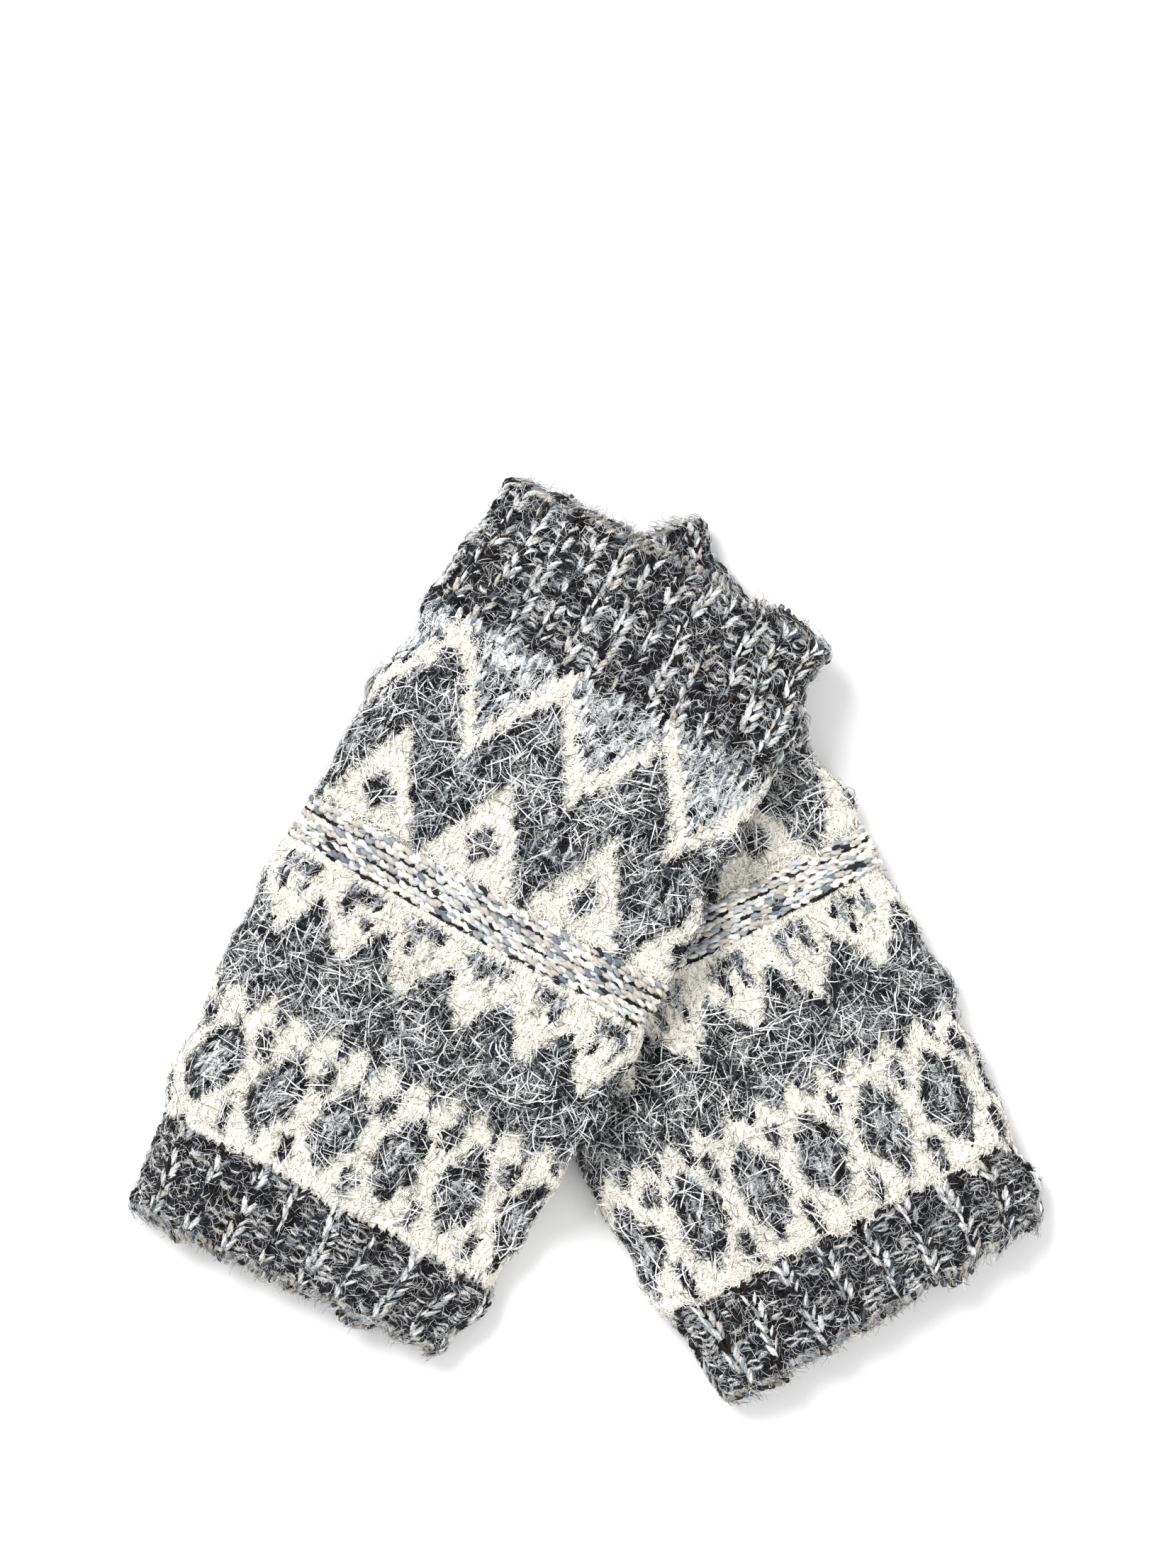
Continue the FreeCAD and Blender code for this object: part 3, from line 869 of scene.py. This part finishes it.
def hair_paths(s, a, heading, bend, length, lift):
    """Each hair's curved line in flat space: (n, HAIR_POINTS, 3)."""
    count = len(s)
    share = np.linspace(0.0, 1.0, HAIR_POINTS)
    turn = heading[:, None] + bend[:, None] * (share[None] - 0.5) * 2
    step = length[:, None] / (HAIR_POINTS - 1)
    middle = (turn[:, 1:] + turn[:, :-1]) / 2
    run_s = np.cumsum(np.cos(middle) * step, axis=1)
    run_a = np.cumsum(np.sin(middle) * step, axis=1)
    path = np.zeros((count, HAIR_POINTS, 3))
    path[:, 1:, 0] = run_s
    path[:, 1:, 1] = run_a
    path[:, :, 0] += s[:, None] - run_s[:, 1:2]
    path[:, :, 1] += a[:, None] - run_a[:, 1:2]
    free_end = rng.uniform(-0.2, 1.0, count)[:, None]
    arch = np.sin(math.pi * share)[None] * 0.8
    base = rng.uniform(-0.75, 0.15, count)[:, None]
    path[:, :, 2] = base + lift[:, None] * (arch + free_end * share[None] ** 1.5) * 0.7
    return path


def ribbons(path, width):
    """Flat ribbons along the paths, each rolled by its own angle and thin at its ends."""
    share = np.linspace(0.0, 1.0, HAIR_POINTS)
    tangent = np.gradient(path[..., :2], axis=1)
    tangent /= np.linalg.norm(tangent, axis=-1, keepdims=True) + 1e-9
    roll = rng.uniform(-0.9, 0.9, len(path))[:, None]
    thin = (1.0 - 0.75 * np.abs(share - 0.4)[None] ** 1.2 * 1.6) * width[:, None] / 2
    flat = np.zeros((len(path), HAIR_POINTS, 2, 3))
    for i, hand in enumerate((-1, 1)):
        flat[:, :, i, 0] = path[..., 0] - tangent[..., 1] * np.cos(roll) * thin * hand
        flat[:, :, i, 1] = path[..., 1] + tangent[..., 0] * np.cos(roll) * thin * hand
        flat[:, :, i, 2] = path[..., 2] + np.sin(roll) * thin * hand
    return flat


def hairs(glove, name, start, stop):
    """Loose surface hairs between two places along the glove, as fine curved ribbons."""
    s, a, kind = hair_roots(glove, start, stop)
    count = len(s)
    length, width, lift, tone, kemp = hair_looks(s, a, kind)
    heading = rng.uniform(0, 2 * math.pi, count)
    soften_borders(glove, s, a, kind, kemp, heading, length, tone)
    at_fold = (np.abs(a) > 38.0) & (np.abs(a) < 62.0)
    lift[at_fold] *= 0.55
    bend = rng.normal(0, 0.75, count)
    bend[kemp] *= 0.25
    flat = ribbons(hair_paths(s, a, heading, bend, length, lift), width)

    quads = HAIR_POINTS - 1
    one = np.array([[0, 1, 3, 2]]) + 2 * np.arange(quads)[:, None]
    faces = (one[None] + (np.arange(count) * 2 * HAIR_POINTS)[:, None, None]).reshape(-1, 4)
    return add_piece(name, glove.wrap(flat).reshape(-1, 3), faces,
                     np.repeat(tone, quads), HAIR_MATERIALS)


# ------------------------------------------------------------------ bodies and joints
def bend_stretch(joint_at, towards):
    """Where along the glove a bend starts and where it is complete."""
    return joint_at - towards * BEND_BEFORE, joint_at + towards * BEND_AFTER


def bend_ends(glove, stretch):
    """The same two places in the frame."""
    ends = []
    for s in stretch:
        x, y = glove.to_plan(s, 0.0)
        ends.append((x * MM, y * MM, 0.0))
    return ends


def place_on_body(glove, piece, start, stop):
    """Rides the piece on its body; a piece that reaches into a bend is left off the bodies, with
    its transform applied.
    """
    hand = f"{glove.side}_hand"
    cuff_end = f"{glove.side}_cuff_end"
    cuff = bend_stretch(glove.facts["cuff_joint_at"], 1)
    finger = bend_stretch(FINGER_BEND, -1)
    if start >= cuff[1]:
        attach(piece, cuff_end)
    elif stop > cuff[0]:
        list(bend_ends(glove, cuff))
        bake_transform(piece)
    elif glove.side == "lower" or start >= finger[0]:
        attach(piece, hand)
    elif stop <= finger[1]:
        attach(piece, "upper_finger_end")
    else:
        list(bend_ends(glove, finger))
        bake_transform(piece)


SLOT_OF = {
    "finger_edge": "rim_knit", "finger_cuff": "marl_rib", "hand_panel": "zigzag_knit",
    "ridge_1": "ridge_knit", "ridge_2": "ridge_knit", "ridge_3": "ridge_knit",
    "wave_band": "wave_knit", "dot_band": "cream_knit", "diamond_band": "diamond_knit",
    "rib_hem": "marl_rib", "hem_edge": "rim_knit",
}


def knit_band(glove, band, start, stop):
    """The yarn of one band of a glove."""
    facts = glove.facts
    if band == "finger_edge":
        return edge_band(RIM_INSET, 1)
    if band == "hem_edge":
        return edge_band(glove.length - RIM_INSET, -1)
    if band == "finger_cuff":
        return rib_band(glove, start, stop, HAND_RIBS, facts["hand_rib"], RIB_LIGHT)
    if band == "rib_hem":
        return rib_band(glove, start, stop, HEM_RIBS, facts["hem_rib"], RIB_LIGHT)
    if band.startswith("ridge"):
        return ridge_band(start, stop)
    return jersey_band(glove, start, stop)


def build_glove(glove):
    side = glove.side
    starts = glove.facts["bands"]
    for i, band in enumerate(BANDS[:-1]):
        start, stop = starts[i], starts[i + 1]
        yarn = knit_band(glove, band, start, stop)
        piece = yarn.make(glove, f"{side}_{band}_yarn", SLOT_OF[band])
        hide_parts(f"{side}_{band}")
        place_on_body(glove, piece, start, stop)
    piece = slit_edge().make(glove, f"{side}_thumb_edge_yarn", "rim_knit")
    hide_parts(f"{side}_thumb_edge")
    place_on_body(glove, piece, SLIT_TOP, SLIT_BOTTOM)

    at = dict(zip(BANDS, starts))
    finger = bend_stretch(FINGER_BEND, -1)
    cuff = bend_stretch(glove.facts["cuff_joint_at"], 1)
    parts = [FELT_INSET, finger[1], finger[0], at["ridge_1"], at["wave_band"], *cuff,
             glove.length - FELT_INSET]
    for i, (start, stop) in enumerate(zip(parts, parts[1:])):
        ground = felt(glove, f"{side}_felt_{i + 1}", start, stop, FELT_DEPTH, 1.25, False)
        place_on_body(glove, ground, start + HAIRLINE, stop - HAIRLINE)
        lining = felt(glove, f"{side}_reverse_{i + 1}", start, stop, -WALL, 2.0, True)
        place_on_body(glove, lining, start + HAIRLINE, stop - HAIRLINE)

    stops = [0.0, 20.0, HAND_START, 68.0, at["ridge_1"], at["wave_band"], 124.0, at["dot_band"],
             at["diamond_band"] + 12.0, at["rib_hem"], glove.length]
    for i, (start, stop) in enumerate(zip(stops, stops[1:])):
        hair = hairs(glove, f"{side}_hair_{i + 1}", start, stop)
        place_on_body(glove, hair, start, stop)


lower = Glove("lower", GLOVES["lower"])
upper = Glove("upper", GLOVES["upper"])
lower.make_surface(None)
upper.make_surface(lower_side(lower))
build_glove(lower)
build_glove(upper)


# ------------------------------------------------------------------ floor, light, camera
def plain_material(name, colour, roughness):
    material = bpy.data.materials.new(name)
    material.use_nodes = True
    shader = material.node_tree.nodes["Principled BSDF"]
    shader.inputs["Base Color"].default_value = (*colour, 1.0)
    shader.inputs["Roughness"].default_value = roughness
    return material


def floor():
    bpy.ops.mesh.primitive_plane_add(size=8.0, location=(0, 0, 0))
    plane = bpy.context.object
    plane.name = "floor"
    plane.data.materials.append(plain_material("floor_pale", (0.93, 0.93, 0.93), 0.9))


def soft_light(name, place, size, power):
    light = bpy.data.lights.new(name, "AREA")
    light.shape = "DISK"
    light.size = size
    light.energy = power
    lamp = bpy.data.objects.new(name, light)
    lamp.location = place
    lamp.rotation_euler = (-Vector(place)).to_track_quat("-Z", "Y").to_euler()
    bpy.context.scene.collection.objects.link(lamp)


def world_light(strength):
    world = bpy.data.worlds.new("studio")
    world.use_nodes = True
    background = world.node_tree.nodes["Background"]
    background.inputs["Color"].default_value = (1.0, 1.0, 1.0, 1.0)
    background.inputs["Strength"].default_value = strength
    bpy.context.scene.world = world


def camera():
    """Long lens, straight down; the pair sits below the middle of the picture."""
    view_height = 0.398
    view_centre = (0.0004, 0.0401)
    knit_height = 0.008       # the picture's scale holds at this height over the table
    data = bpy.data.cameras.new("camera")
    data.lens = 180.0
    data.sensor_width = 36.0
    data.clip_end = 20.0
    cam = bpy.data.objects.new("camera", data)
    away = view_height * data.lens / data.sensor_width
    cam.location = (*view_centre, away + knit_height)
    cam.rotation_euler = (0.0, 0.0, 0.0)
    bpy.context.scene.collection.objects.link(cam)
    bpy.context.scene.camera = cam


floor()
soft_light("key_light", (-0.9, 1.1, 1.6), 1.0, 38.0)
soft_light("fill_light", (1.2, -0.8, 1.5), 1.6, 12.0)
world_light(0.78)
camera()
bpy.context.scene.view_settings.view_transform = "Standard"
